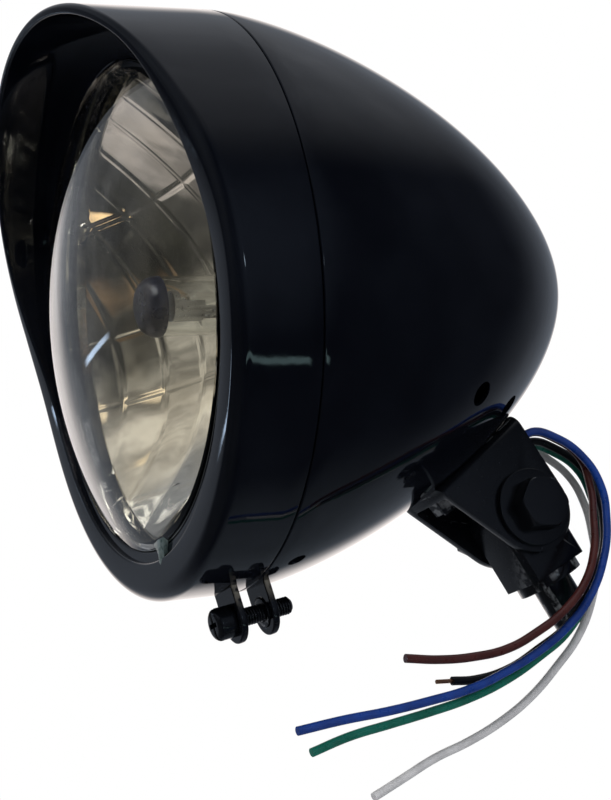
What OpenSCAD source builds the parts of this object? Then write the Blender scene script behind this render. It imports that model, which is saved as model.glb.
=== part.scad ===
// Round motorcycle headlight: bullet shell, peaked trim ring, bottom swivel mount and five free wires.
// Millimetres. The light shines toward -Y and +Z is up. The origin is under the stud's collar.
// Lamp pieces are drawn in the lamp's own frame: its axis is Y and y = 0 is the seam of ring and shell.

/* [Shell] */
// Outer radius of the ring and of the shell at the seam
shell_r = 82; // [75:0.5:90]
// Length of the shell from the seam to its nose
shell_len = 117; // [105:1:130]
// How late the shell starts to taper
shell_early = 1.46; // [1.3:0.02:1.8]
// How blunt the shell's nose is
shell_blunt = 1.65; // [1.4:0.05:2]
// Thickness of the spun steel
shell_wall = 1.2; // [0.8:0.1:2]
// Diameter of the four vent holes
vent_d = 7; // [4:0.5:8]
// Diameter of the drain hole
drain_d = 5; // [3:0.5:6]

/* [Trim ring] */
// Width of the ring from the seam to its front face
ring_w = 22.5; // [20:0.5:28]
// Wall of the ring
ring_wall = 1.5; // [1.2:0.1:2]
// How far the visor stands out past the ring at the top
visor_reach = 20; // [10:1:30]
// Thickness of the visor at the top
visor_t = 3; // [2.5:0.5:5]
// Width of the round lip below the visor
lip_w = 11; // [8:0.5:12]
// Radius of the opening in the ring that the lens shows through
opening_r = 68; // [64:0.5:70]

/* [Clamp] */
// Width of the two clamp ears
ear_w = 13; // [12:0.5:16]
// Thickness of the two clamp ears
ear_t = 2; // [1.5:0.1:3]
// Gap between the two clamp ears
ear_gap = 7; // [6:0.5:10]
// Distance of the clamp screw from the ring's outside
ear_drop = 7.5; // [7.5:0.5:10]
// Diameter of the clamp screw
clamp_d = 5; // [4:0.5:6]

/* [Light unit] */
// How far the lens bulges past its rim
lens_bulge = 17; // [12:0.5:19]
// Thickness of the lens
lens_t = 3; // [2:0.5:4]
// Focal length of the reflector
focal = 27.4; // [25:0.2:30]
// Diameter of the main bulb's glass
bulb_d = 17; // [15:0.5:18]
// Distance of the position bulb below the main bulb
position_drop = 36; // [35.5:0.5:38]

/* [Mount] */
// Width inside the bracket's two ears
bracket_gap = 18.2; // [16:0.2:22]
// Thickness of the bracket's steel
bracket_t = 2.5; // [2:0.1:3]
// Length of the bracket along the shell
bracket_len = 37; // [34:1:40]
// How far the bracket's middle is aft of base_y, along its base
bracket_aft = 2.8; // [1.5:0.1:4]
// Radius of the round end of each bracket ear
bracket_r = 13; // [12:0.5:15]
// Inner radius of the bracket's folds
bracket_bend = 1.2; // [0.8:0.1:1.2]
// Distance behind the seam where the bracket's base is parallel to the shell
base_y = 72; // [66:1:76]
// How far the pivot bolt is aft of base_y, along the bracket's base
pivot_aft = 4.9; // [2:0.1:8]
// Distance of the pivot bolt from the shell, square to the bracket's base
pivot_out = 21.8; // [21:0.1:26]
// Diameter of the pivot bolt
pivot_d = 10; // [8:1:10]
// Width across the flats of the pivot bolt's head
pivot_af = 14; // [13:1:17]
// Diameter of the two pivot washers
washer_d = 23; // [20:0.5:24]
// Width of the swivel block fore and aft
block_w = 21; // [19:0.5:22]
// Distance from the pivot to the bottom of the block
block_drop = 19; // [17:0.5:22]
// Diameter of the mounting stud
stud_d = 12; // [10:1:12]
// Free length of the mounting stud
stud_len = 14; // [12:1:20]
// How far the stud leans rearward from straight down
stud_lean = 23; // [15:1:30]

/* [Wires] */
// Diameter of each wire
wire_d = 2.4; // [2:0.1:2.5]
// Spacing of the wires in the grommet
wire_pitch = 3; // [2.8:0.1:3.2]

/* [Hidden] */
$fn = 96;

// Named clearances
slip = 0.3;      // between a piece and the piece that it drops into
fit = 0.05;      // round a shaft and between faces that turn on each other
touch = 0.15;    // between a flat piece and the curved shell

// Clamp
clamp_tilt = 8;
ring_gap = 0.3;
front_ear_y = -5;
rear_ear_y = front_ear_y + ear_t + ear_gap;
clamp_z = shell_r + ear_drop;
clamp_mid_y = front_ear_y + ear_t + ear_gap / 2;
clamp_head_d = 1.8 * clamp_d;
clamp_head_h = 5.5;
clamp_tail = 6;
clamp_nut_d = 8;
clamp_nut_proud = 0.8;
clamp_bore = clamp_d / 2 + 0.25;

// The drain hole's place from the axis and the seam, and each vent pair's place: behind the seam, and round from
// the bottom in degrees
drain_at = [18, 8];
vents = [[59, 45], [78, 31]];

// Ring and shell meet
spigot_r = shell_r - ring_wall - slip;
spigot_len = 4;
flange_back = -ring_w + 3;
flange_recess = 1;
ring_steps = 90;

// Light unit, all along the lamp's axis
gasket_t = 1;
gasket_y = flange_back + 0.05;
lens_flange_y = gasket_y + gasket_t + 0.05;
lens_rim_r = opening_r + 6;
lens_flange_t = 2.4;
lens_r = opening_r - 0.5;
lens_edge_y = -ring_w + 0.5;
reflector_y = lens_flange_y + lens_flange_t + 0.05;
reflector_t = 2;
mirror_r = opening_r - 2;
vertex_y = 27.65;
bulb_seat_y = 32;
neck_r = 23.8;
seat_r = 22.3;
flange_r = 21.5;
flange_t = 1.2;
bulb_tip_y = -17;
bulb_root_y = 25;
bulb_root_t = 5;
glass_t = 1.2;
tip_round = 5;
base_r = 11.5;
base_end_y = 45;
sleeve_end_y = 65;
blade_len = 8;
blade_w = 8;
blade_t = 0.8;
connector_w = 26;
connector_h = 19;
connector_t = 12;
strain_w = 18;
strain_h = 14;
holder_r = 7.5;
holder_face_y = 27;
holder_depth = 8;
small_bulb_r = 5;
clip_wire_r = 0.6;
clip_r = 16;

// Inside the bulb: three posts, two filaments and the shield cup under the front one
post_r = 0.6;
post_pitch = 4;
post_drop = 2;
filament_r = 0.8;
low_filament = [-post_pitch, 0, -5];
main_filament = [-post_pitch - 0.3, 1.8, 5];
cup_r = 4.4;
cup_wall = 0.6;
cup_y = -8;
cup_len = 9;

// Facets of the reflector: where its columns and rows meet, and the raised joint between two of them
facet_x = [-mirror_r, -59, -48, -37, -26, -13, 0, 13, 26, 37, 48, 59, mirror_r];
facet_z = [-mirror_r, -44, -10.5, 10.5, 44, mirror_r];
facet_joint = 1;
facet_rise = 0.35;

// Bracket: its base is parallel to the shell's bottom line at base_y, and its rim is cut to the shell's roundness
base_slope = atan(steep(base_y));
saddle_rise = 1.9;
bolt_u = [-9.5, 0.5];
bracket_bolt_d = 5;
grommet_u = 14;
grommet_w = 16;
grommet_h = 6;
washer_t = 1.8;
block_side = bracket_gap / 2 - 0.1;
collar_t = 3;
collar_d = 20;
bolt_head_h = 6.4;
bolt_turn = 25;
pivot_nut_h = 8;
bore_r = pivot_d / 2 + fit;

function outer(y) = shell_r * pow(max(0, 1 - pow(min(1, max(0, y) / shell_len), shell_early)), 1 / shell_blunt);
function steep(y) = (outer(y - 0.05) - outer(y + 0.05)) / 0.1;
function inward(y, d) = let (s = steep(y), k = sqrt(1 + s * s)) [outer(y) - d / k, y - d * s / k];

// Where the bracket's base, its bolts and the grommet sit, in the plane x = 0
along = [0, cos(base_slope), sin(base_slope)];
outward = [0, sin(base_slope), -cos(base_slope)];
base_at = [0, base_y, -outer(base_y)];
pivot_at = base_at + pivot_aft * along + pivot_out * outward;

// The stud leans in the plane x = 0, and the origin is under its collar
down = [0, sin(stud_lean), -cos(stud_lean)];
lamp_at = -(pivot_at + (block_drop + collar_t) * down);

module in_lamp() translate(lamp_at) children();
module on_axis() rotate([-90, 0, 0]) children();               // a shape along Z now runs along +Y
module at_pivot() translate(lamp_at + pivot_at) children();
module on_base() translate(base_at) rotate([base_slope, 0, 0]) children();   // y along, -z outward
module hex(af, h) cylinder(d = af / cos(30), h = h, $fn = 6);
module across(h) rotate([0, 90, 0]) translate([0, 0, -h / 2]) cylinder(r = bore_r, h = h);

// Points of an arc in the plane, from angle a to angle b
function arc(c, r, a, b, n) = [for (i = [0:n]) let (t = a + (b - a) * i / n) c + r * [cos(t), sin(t)]];

module stadium(w, h, t) translate([0, 0, -t]) linear_extrude(t) union() {
    square([w - h, h], center = true);
    for (s = [-1, 1]) translate([s * (w - h) / 2, 0]) circle(d = h);
}

// The screw's line, tilted a little as the ring's ear is pulled over
module at_clamp() in_lamp() translate([0, clamp_mid_y, -clamp_z]) rotate([clamp_tilt, 0, 0])
    translate([0, -clamp_mid_y, 0]) children();

module clamp_ear(y, top, bore) difference() {
    translate([0, y, 0]) on_axis() union() {
        cylinder(d = ear_w, h = ear_t);
        translate([-ear_w / 2, -top, 0]) cube([ear_w, top, ear_t]);
    }
    translate([0, y - 1, 0]) on_axis() cylinder(r = bore, h = ear_t + 2);
}

// Shell: spun in one piece, with a spigot for the ring and a welded ear for the clamp screw
module shell_form() on_axis() rotate_extrude() polygon(concat(
    [[shell_r - shell_wall - 1.2, -spigot_len], [spigot_r, -spigot_len], [spigot_r, 0], [shell_r, 0]],
    [for (i = [1:26]) let (y = shell_len * sin(90 * i / 27)) [outer(y), y]],
    [[0, shell_len], [0, shell_len - shell_wall]],
    [for (i = [26:-1:2]) inward(shell_len * sin(90 * i / 27), shell_wall)],
    [[shell_r - shell_wall - 1.2, 3]]));

module shell() color("#101018") difference() {
    union() {
        in_lamp() shell_form();
        at_clamp() clamp_ear(rear_ear_y, clamp_z - outer(rear_ear_y) + 0.9, clamp_nut_d / 2 + fit);
    }
    in_lamp() {
        translate([drain_at[0], drain_at[1], -outer(drain_at[1]) - 10]) cylinder(d = drain_d, h = 20);
        for (v = vents) for (s = [-1, 1]) vent_hole(v[0], s * v[1]);
        on_base() for (u = bolt_u) translate([0, u, -5]) cylinder(d = bracket_bolt_d + 0.4, h = 12);
        on_base() translate([0, grommet_u, 6]) stadium(grommet_w - 2, grommet_h - 2, 12);
    }
}
module vent_hole(y, a) translate([0, y, 0]) rotate([0, 180 - a, 0])
    translate([0, 0, outer(y) - 12]) cylinder(d = vent_d, h = 20);

// Trim ring and visor: one section swept round the axis, longer toward the top
function reach(a) = abs(a) < 90 ? visor_reach * cos(a) : 0;
function lip(a) = visor_t + (lip_w - visor_t) * min(1, max(0, (abs(a) - 55) / 35));
function section(a) = let (p = reach(a), w = lip(a), f = -ring_w - p, k = min(4, w / 2), m = 0.8,
                           in = shell_r - ring_wall) concat(
    [[shell_r, -ring_gap]],
    arc([shell_r - k, f + k], k, 0, -90, 6),
    arc([shell_r - w + m, f + m], m, -90, -180, 3),
    [[shell_r - w, -ring_w + flange_recess]],
    arc([opening_r + 0.7, -ring_w + flange_recess + 0.7], 0.7, -90, -180, 3),
    [[opening_r, flange_back], [in - 1.5, flange_back], [in, flange_back + 1.5], [in, -ring_gap]]);
module ring_form() let (m = len(section(0)), n = ring_steps) polyhedron(
    points = [for (i = [0:n - 1]) let (a = -180 + 360 * i / n) for (q = section(a))
              [q[0] * sin(a), q[1], q[0] * cos(a)]],
    faces = [for (i = [0:n - 1]) for (j = [0:m - 1]) let (k = (i + 1) % n, l = (j + 1) % m)
             each [[i * m + j, k * m + l, i * m + l], [i * m + j, k * m + j, k * m + l]]], convexity = 6);
module trim_ring() color("#101018") union() {
    in_lamp() ring_form();
    at_clamp() clamp_ear(front_ear_y, ear_drop + 0.7, clamp_bore);
}

module clamp_screw() color("#17181c") at_clamp() difference() {
    union() {
        translate([0, front_ear_y - clamp_head_h, 0]) on_axis() rotate_extrude() polygon(concat([[0, 0]],
            arc([clamp_head_d / 2 - 1.4, 1.4], 1.4, -90, 0, 6), [[clamp_head_d / 2, clamp_head_h], [0, clamp_head_h]]));
        translate([0, front_ear_y - 0.1, 0]) on_axis()
            cylinder(d = clamp_d - 0.1, h = rear_ear_y + ear_t + clamp_tail - front_ear_y);
    }
    translate([0, front_ear_y - clamp_head_h - 0.1, 0]) {
        cube([1.4, 3.4, clamp_head_d + 1], center = true);
        cube([4.6, 4, 1.2], center = true);
    }
}
// A round nut pressed into the rear ear, its back flush with the ear's
module clamp_nut() color("#17181c") at_clamp() translate([0, rear_ear_y - clamp_nut_proud, 0]) on_axis() difference() {
    cylinder(d = clamp_nut_d, h = ear_t + clamp_nut_proud);
    translate([0, 0, -1]) cylinder(d = clamp_d, h = ear_t + clamp_nut_proud + 2);
}

// Lens: a shallow dome whose flange is held behind the ring's opening
lens_curve = (pow(lens_r, 2) + pow(lens_bulge, 2)) / (2 * lens_bulge);
lens_centre_y = lens_edge_y - lens_bulge + lens_curve;
lens_span = asin(lens_r / lens_curve);
lens_in_r = lens_r - lens_t;
lens_in_span = asin(lens_in_r / (lens_curve - lens_t));
module lens() color("#dfe6ea", 0.4) in_lamp() on_axis() rotate_extrude() polygon(concat(
    [[lens_rim_r, lens_flange_y + lens_flange_t], [lens_rim_r, lens_flange_y], [lens_r, lens_flange_y]],
    [for (i = [0:12]) let (a = lens_span * (1 - i / 12))
     [lens_curve * sin(a), lens_centre_y - lens_curve * cos(a)]],
    [for (i = [0:12]) let (a = lens_in_span * i / 12)
     [(lens_curve - lens_t) * sin(a), lens_centre_y - (lens_curve - lens_t) * cos(a)]],
    [[lens_in_r, lens_flange_y + lens_flange_t]]));

module lens_gasket() color("#151515") in_lamp() translate([0, gasket_y, 0]) on_axis() difference() {
    cylinder(r = lens_rim_r, h = gasket_t);
    translate([0, 0, -1]) cylinder(r = opening_r + 0.3, h = gasket_t + 2);
}

// Four spring clips press the light unit into the ring from behind
module lens_clips() color("#b8b8b0") in_lamp() for (a = [45:90:315]) rotate([0, a, 0]) on_axis()
    rotate([0, 0, -6]) rotate_extrude(angle = 12) let (y = reflector_y + reflector_t, r = shell_r - ring_wall)
    polygon([[lens_rim_r - 3, y + 0.1], [lens_rim_r + 1, y + 0.1], [lens_rim_r + 3, y - 2], [r - 1, y - 2],
             [r - 0.1, y + 1.5], [r - 1, y + 1.5], [r - 1.8, y - 1.1], [lens_rim_r + 3.4, y - 1.1],
             [lens_rim_r + 1.4, y + 1], [lens_rim_r - 3, y + 1]]);

// Reflector: a paraboloid with a seat for the bulb and a socket for the position bulb
function mirror_y(r, back) = vertex_y + back - r * r / (4 * focal);
module bowl(lift) on_axis() rotate_extrude() polygon(concat(
    [[0, reflector_y - 1], [mirror_r, reflector_y - 1]],
    [for (i = [0:18]) let (r = mirror_r * (1 - i / 18)) [r, min(mirror_y(r, 0), mirror_y(0, 0)) - lift]]));
module facet_cells() for (i = [0:len(facet_x) - 2]) for (j = [0:len(facet_z) - 2])
    translate([facet_x[i] + facet_joint / 2, reflector_y - 2, facet_z[j] + facet_joint / 2])
        cube([facet_x[i + 1] - facet_x[i] - facet_joint, 60, facet_z[j + 1] - facet_z[j] - facet_joint]);
module reflector() color("#d8d8d8") in_lamp() difference() {
    union() {
        on_axis() rotate_extrude() polygon(concat(
            [[0, reflector_y], [lens_rim_r, reflector_y], [lens_rim_r, reflector_y + reflector_t],
             [mirror_r + 2.4, reflector_y + reflector_t]],
            [for (i = [0:14]) let (r = mirror_r + 2.2 - i * (mirror_r + 2.2 - neck_r) / 14) [r, mirror_y(r, 2.4)]],
            [[neck_r, bulb_seat_y - 3], [seat_r, bulb_seat_y - 3], [seat_r, bulb_seat_y], [0, bulb_seat_y]]));
        translate([0, 0, -position_drop]) on_axis() cylinder(r = holder_r + 2, h = holder_face_y - 3);
    }
    bowl(facet_rise);
    intersection() {
        bowl(0);
        facet_cells();
    }
    on_axis() cylinder(r = bulb_d / 2 + 3.2, h = 60);
    translate([0, 0, -position_drop]) on_axis() cylinder(r = holder_r - 1.2, h = 60);
}

module bulb_glass() color("#30344a", 0.5) in_lamp() on_axis() difference() {
    rotate_extrude() polygon(concat([[0, bulb_root_y], [0, bulb_tip_y]],
        arc([bulb_d / 2 - tip_round, bulb_tip_y + tip_round], tip_round, -90, 0, 8), [[bulb_d / 2, bulb_root_y]]));
    rotate_extrude() polygon(concat([[0, bulb_root_y - bulb_root_t], [0, bulb_tip_y + glass_t]],
        arc([bulb_d / 2 - tip_round, bulb_tip_y + tip_round], tip_round - glass_t, -90, 0, 8),
        [[bulb_d / 2 - glass_t, bulb_root_y - bulb_root_t]]));
}

module bulb_electrodes() color("#8a8a90") in_lamp() on_axis() union() {
    for (x = [-post_pitch, 0, post_pitch]) translate([x, post_drop, cup_y + 2])
        cylinder(r = post_r, h = bulb_root_y - bulb_root_t - 0.1 - cup_y - 2);
    translate([0, 0, cup_y]) difference() {
        cylinder(r = cup_r, h = cup_len);
        translate([0, 0, 1]) cylinder(r = cup_r - cup_wall, h = cup_len);
        translate([-cup_r - 1, -2 * cup_r, 2]) cube([2 * cup_r + 2, 2 * cup_r, cup_len]);
    }
    for (q = [low_filament, main_filament]) translate(q) rotate([0, 90, 0]) cylinder(r = filament_r, h = -2 * q[0]);
}

module bulb_base() color("#c9c9c4") in_lamp() on_axis() union() {
    translate([0, 0, bulb_seat_y + fit]) cylinder(r = flange_r, h = flange_t);
    difference() {
        translate([0, 0, bulb_root_y - bulb_root_t])
            cylinder(r = bulb_d / 2 + 1, h = bulb_seat_y - bulb_root_y + bulb_root_t + 1);
        translate([0, 0, bulb_root_y - bulb_root_t - 1]) cylinder(r = bulb_d / 2 + fit, h = bulb_root_t + 1 + fit);
    }
    translate([0, 0, bulb_seat_y + 1]) cylinder(r = base_r, h = base_end_y - bulb_seat_y - 1);
}

module blades(grow) for (q = [[-7, 0, 90], [7, 0, 90], [0, -6.5, 0]])
    translate([q[0], q[1], base_end_y + blade_len / 2]) rotate([0, 0, q[2]])
        cube([blade_w + grow, blade_t + grow, blade_len + grow], center = true);
module bulb_terminals() color("#c8a860") in_lamp() on_axis() blades(0);

// Spring clip: a wire loop behind the bulb's flange, hooked over the step of the seat
module bulb_clip() color("#b8b8b8") in_lamp() on_axis() {
    y = bulb_seat_y + fit + flange_t + clip_wire_r + fit;
    translate([0, 0, y]) rotate_extrude() translate([clip_r, 0]) circle(r = clip_wire_r);
    for (s = [-1, 1]) {
        translate([s * clip_r, 0, y]) rotate([0, s * 90, 0])
            cylinder(r = clip_wire_r * 0.98, h = seat_r + clip_wire_r - clip_r + 0.1);
        translate([s * (seat_r + clip_wire_r + fit), 0, bulb_seat_y - 3 + fit])
            cylinder(r = clip_wire_r, h = y - bulb_seat_y + 3.2);
    }
}

// Dust boot: a rubber cap from the seat's neck to the bulb's base
module dust_boot() color("#141414") in_lamp() on_axis() rotate_extrude() polygon([
    [neck_r + fit, bulb_seat_y - 6], [neck_r + 2, bulb_seat_y - 6], [neck_r + 2, bulb_seat_y + 4],
    [neck_r - 5, bulb_seat_y + 8], [base_r + 2, bulb_seat_y + 8], [base_r + 2, base_end_y - 0.5],
    [base_r + fit, base_end_y - 0.5], [base_r + fit, bulb_seat_y + 6], [neck_r - 5.6, bulb_seat_y + 6],
    [neck_r + fit, bulb_seat_y + 3]]);

module bulb_connector() color("#1c1c1c") in_lamp() on_axis() difference() {
    translate([0, 0, base_end_y + 0.1]) union() {
        translate([-connector_w / 2, -connector_h / 2 - 0.5, 0]) cube([connector_w, connector_h, connector_t]);
        translate([-strain_w / 2, -strain_h / 2, connector_t - 0.1])
            cube([strain_w, strain_h, sleeve_end_y - base_end_y - connector_t]);
    }
    blades(0.4);
}

module position_bulb() color("#e8e8e8", 0.5) in_lamp() translate([0, 0, -position_drop]) on_axis()
    rotate_extrude() polygon(concat([[0, holder_face_y - holder_depth], [0, -2]], arc([0, small_bulb_r - 2], small_bulb_r,
        -90, 0, 8), [[small_bulb_r, holder_face_y - holder_depth - 2], [small_bulb_r - 1, holder_face_y - holder_depth]]));
module position_holder() color("#202020") in_lamp() translate([0, 0, -position_drop]) on_axis() union() {
    translate([0, 0, holder_face_y - holder_depth + fit]) cylinder(r = holder_r - 1.3, h = holder_depth + 1);
    translate([0, 0, holder_face_y - 3 + fit]) cylinder(r = holder_r + 1.5, h = 2);
    translate([0, 0, holder_face_y - 1]) cylinder(r = 5.5, h = 9);
}

// Bracket: a folded channel whose tapered ears end round about the pivot bolt
function hand(p, c, r, s) = let (d = norm(c - p), a = atan2(c[1] - p[1], c[0] - p[0]), b = asin(r / d))
    p + sqrt(d * d - r * r) * [cos(a + s * b), sin(a + s * b)];
function on_side(u, o) = let (p = base_at + u * along + o * outward) [p[1], p[2]];
module ear_outline() let (c = [pivot_at[1], pivot_at[2]], f = bracket_aft - bracket_len / 2, e = f + bracket_len,
        a = on_side(f, -saddle_rise), b = on_side(e, -saddle_rise))
    union() {
        translate(c) circle(r = bracket_r);
        polygon([a, hand(a, c, bracket_r, -1), c, hand(b, c, bracket_r, 1), b, on_side(e - 2, -8), on_side(f + 2, -8)]);
    }
module trough(w, r, h) union() {
    translate([-w / 2, r]) square([w, h]);
    translate([-w / 2 + r, 0]) square([w - 2 * r, r + 0.1]);
    for (s = [-1, 1]) translate([s * (w / 2 - r), r]) circle(r = r);
}
module channel(l) rotate([-90, 0, 0]) translate([0, 0, -l / 2]) linear_extrude(l) difference() {
    translate([0, touch - saddle_rise]) trough(bracket_gap + 2 * bracket_t, bracket_bend + bracket_t, 2 * pivot_out);
    translate([0, touch + bracket_t]) trough(bracket_gap, bracket_bend, 2 * pivot_out + 9);
}
module mount_bracket() color("#1a1b20") in_lamp() difference() {
    intersection() {
        translate([-bracket_gap, 0, 0]) rotate([90, 0, 90]) linear_extrude(2 * bracket_gap) ear_outline();
        on_base() channel(3 * bracket_len);
    }
    on_axis() rotate_extrude() polygon(concat([[0, -1], [shell_r + touch, -1], [shell_r + touch, 0]],
        [for (i = [1:26]) inward(shell_len * sin(90 * i / 27), -touch)], [[0, shell_len + touch]]));
    translate(pivot_at) across(60);
    on_base() for (u = bolt_u) translate([0, u, -5]) cylinder(d = bracket_bolt_d + 0.4, h = 12);
    on_base() translate([0, grommet_u, 6]) stadium(grommet_w - 2, grommet_h - 2, 12);
}

// Two bolts from inside the shell, with nuts between the ears
bolt_seat = shell_wall + 0.9;
nut_seat = touch + bracket_t + fit;
module bracket_bolts() color("#8d8f92") in_lamp() on_base() for (u = bolt_u) translate([0, u, 0]) {
    translate([0, 0, bolt_seat]) cylinder(d = 9, h = 3);
    translate([0, 0, -nut_seat - 5]) cylinder(d = bracket_bolt_d, h = bolt_seat + nut_seat + 5.5);
}
module bracket_nuts() color("#8d8f92") in_lamp() on_base() for (u = bolt_u) translate([0, u, -nut_seat - 4])
    difference() {
        hex(8, 4);
        translate([0, 0, -1]) cylinder(d = bracket_bolt_d + 2 * fit, h = 6);
    }

// Grommet: an oval of rubber with a groove for the shell and the bracket, and five wires through it
grommet_out = touch + bracket_t + 1.6;
grommet_in = shell_wall + 3;
module wire_grommet() color("#141414") in_lamp() on_base() translate([0, grommet_u, 0]) union() {
    translate([0, 0, grommet_in]) stadium(grommet_w, grommet_h, 1.2);
    translate([0, 0, grommet_in - 0.1]) stadium(grommet_w - 2.4, grommet_h - 2.4, grommet_out + grommet_in - 0.2);
    translate([0, 0, -touch - bracket_t - fit]) stadium(grommet_w, grommet_h, grommet_out - touch - bracket_t - fit);
}

// A tube of eight sides along a list of points
function unit(v) = v / norm(v);
function heading(p, i) = unit(i == 0 ? p[1] - p[0] : i == len(p) - 1 ? p[i] - p[i - 1]
                              : unit(p[i + 1] - p[i]) + unit(p[i] - p[i - 1]));
module tube(p, d, sides = 8) let (n = len(p)) polyhedron(
    points = [for (i = [0:n - 1]) let (t = heading(p, i), s = unit(cross(t, [1, 0.1, 0])), u = cross(s, t))
              for (k = [0:sides - 1]) let (a = 360 * (k + 0.5) / sides) p[i] + d / 2 * (cos(a) * s + sin(a) * u)],
    faces = concat([[for (k = [sides - 1:-1:0]) k]], [[for (k = [0:sides - 1]) (n - 1) * sides + k]],
        [for (i = [0:n - 2]) for (k = [0:sides - 1]) let (l = (k + 1) % sides)
         [i * sides + k, i * sides + l, (i + 1) * sides + l, (i + 1) * sides + k]]), convexity = 6);

// A sleeve carries the leads from the connector to the grommet along one smooth curve
sleeve_d = 7;
sleeve_aft = 18;
sleeve_lead = 24;
function between(a, b, t) = (1 - t) * a + t * b;
function smooth(a, b, c, d, t) = between(between(between(a, b, t), between(b, c, t), t),
                                         between(between(b, c, t), between(c, d, t), t), t);
module wire_sleeve() color("#161616") in_lamp() let (a = [0, sleeve_end_y + fit, 0],
    d = base_at + grommet_u * along - (grommet_in + fit) * outward)
    tube(concat([a, a + [0, 1, 0]], [for (i = [1:9]) smooth(a, a + [0, sleeve_aft, 0], d - sleeve_lead * outward, d, i / 10)],
        [d - outward, d]), sleeve_d);

// Each wire leaves the grommet square to its face and then follows its own points
function wire_start(x) = [for (h = [grommet_out, grommet_out + 2])
    base_at + grommet_u * along + h * outward + [x, 0, 0]];
brown_route = [[3.5, 99, -45.5], [5, 106, -48.5], [7.5, 111, -55], [10.5, 110.5, -65], [15, 106, -75],
    [19.5, 100.5, -85.5], [22, 93.5, -94.5], [23.5, 83.5, -102], [25, 72.5, -107], [26, 61.5, -110.5],
    [27, 50, -111.5], [27.5, 39, -111], [28, 29, -109.5]];
blue_route = [[6.5, 97, -46], [8.5, 104, -49], [11, 109.5, -55.5], [13.5, 112, -65], [15.5, 110, -76.5],
    [17.5, 104.5, -88], [19, 95.5, -99], [20.5, 85, -106.5], [22, 73.5, -112], [23, 60.5, -116.5],
    [24, 48.5, -119.5], [24.5, 35.5, -121], [25, 23, -122], [25.5, 9.5, -122.5], [26, -4, -123.5]];
black_route = [[0.5, 100.5, -47.5], [1.5, 107.5, -50.5], [3.5, 113.5, -57], [6.5, 115, -66.5],
    [10, 112.5, -76.5], [14, 106, -87.5], [16, 97.5, -97.5], [17.5, 87.5, -105.5], [19, 75.5, -111],
    [20, 63.5, -115.5], [21, 52, -117], [21.5, 45, -116.5]];
green_route = [[-2.5, 102, -48], [-1.5, 108.5, -51], [0.5, 114, -57], [3.5, 115, -67], [7, 112.5, -77],
    [11, 106.5, -88], [13, 99, -98], [14.5, 89, -107], [16, 77, -113], [17, 64.5, -118],
    [18, 51, -121.5], [18.5, 38, -123.5], [19, 25.5, -125], [19.5, 13, -126.5], [20, 1.5, -129]];
white_route = [[-5.5, 103, -48.5], [-4.5, 108.5, -52.5], [-2.5, 113, -59], [0.5, 114, -68], [4, 112, -78],
    [8, 108, -88.5], [10, 102.5, -98.5], [11.5, 94.5, -108], [13, 84, -116], [14, 72.5, -123.5],
    [15, 60.5, -129], [15.5, 50, -132.5], [16, 38, -135.5], [16.5, 28, -139], [17, 18, -142.5]];
module wire(x, route) in_lamp() tube(concat(wire_start(x), route), wire_d);
module brown_wire() color("#5a2a26") wire(wire_pitch, brown_route);
module blue_wire() color("#1e3a8a") wire(2 * wire_pitch, blue_route);
module black_wire() color("#101014") wire(0, black_route);
module green_wire() color("#116b55") wire(-wire_pitch, green_route);
module white_wire() color("#c8c8c8") wire(-2 * wire_pitch, white_route);

// Bare copper at the black wire's end
core_d = 1.2;
core_len = 5;
module black_wire_core() color("#b87333") in_lamp() let (n = len(black_route),
    t = unit(black_route[n - 1] - black_route[n - 2]), p = black_route[n - 1])
    tube([p, p + core_len * t], core_d);

// Swivel block: an eye on the pivot bolt with a square foot for the stud
module along_stud() at_pivot() rotate([stud_lean, 0, 0]) children();   // the stud's line is now -Z
module swivel_block() color("#16171b") difference() {
    along_stud() intersection() {
        union() {
            rotate([0, 90, 0]) cylinder(r = block_w / 2, h = 2 * block_side, center = true);
            translate([-block_side, -block_w / 2, -block_drop]) cube([2 * block_side, block_w, block_drop]);
        }
        translate([0, 0, -block_drop]) cylinder(r = block_w / 2 + 2.2, h = block_drop + block_w);
    }
    at_pivot() across(60);
    along_stud() translate([0, 0, -block_drop - 1]) cylinder(d = stud_d + 2 * fit, h = 8.4);
}
module mounting_stud() color("#2a2b2e") along_stud() union() {
    translate([0, 0, -block_drop - collar_t - stud_len]) cylinder(d1 = stud_d - 2, d2 = stud_d, h = 1.01);
    translate([0, 0, -block_drop - collar_t - stud_len + 1]) cylinder(d = stud_d, h = stud_len);
    translate([0, 0, -block_drop - collar_t]) cylinder(d = collar_d, h = collar_t);
    translate([0, 0, -block_drop - 0.1]) cylinder(d = stud_d, h = 7);
}

ear_face = bracket_gap / 2 + bracket_t;
module pivot_bolt() color("#2b2d31") at_pivot() rotate([0, 90, 0]) union() {
    translate([0, 0, -ear_face - washer_t - pivot_nut_h - 2.2])
        cylinder(d = pivot_d, h = 2 * ear_face + 2 * washer_t + pivot_nut_h + 2.3 + fit);
    translate([0, 0, ear_face + washer_t + fit]) intersection() {
        rotate([0, 0, bolt_turn]) hex(pivot_af, bolt_head_h);
        cylinder(r1 = pivot_af, r2 = pivot_af / 2 + 0.3, h = bolt_head_h);
    }
}
module pivot_washers() color("#1c1d21") at_pivot() rotate([0, 90, 0])
    for (z = [ear_face + fit, -ear_face - fit - washer_t]) translate([0, 0, z]) difference() {
        cylinder(d = washer_d, h = washer_t - fit);
        translate([0, 0, -1]) cylinder(r = bore_r, h = washer_t + 2);
    }
module pivot_nut() color("#2b2d31") at_pivot() rotate([0, 90, 0])
    translate([0, 0, -ear_face - washer_t - fit - pivot_nut_h]) difference() {
        hex(pivot_af + 2, pivot_nut_h);
        translate([0, 0, -1]) cylinder(r = bore_r, h = pivot_nut_h + 2);
    }

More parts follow.
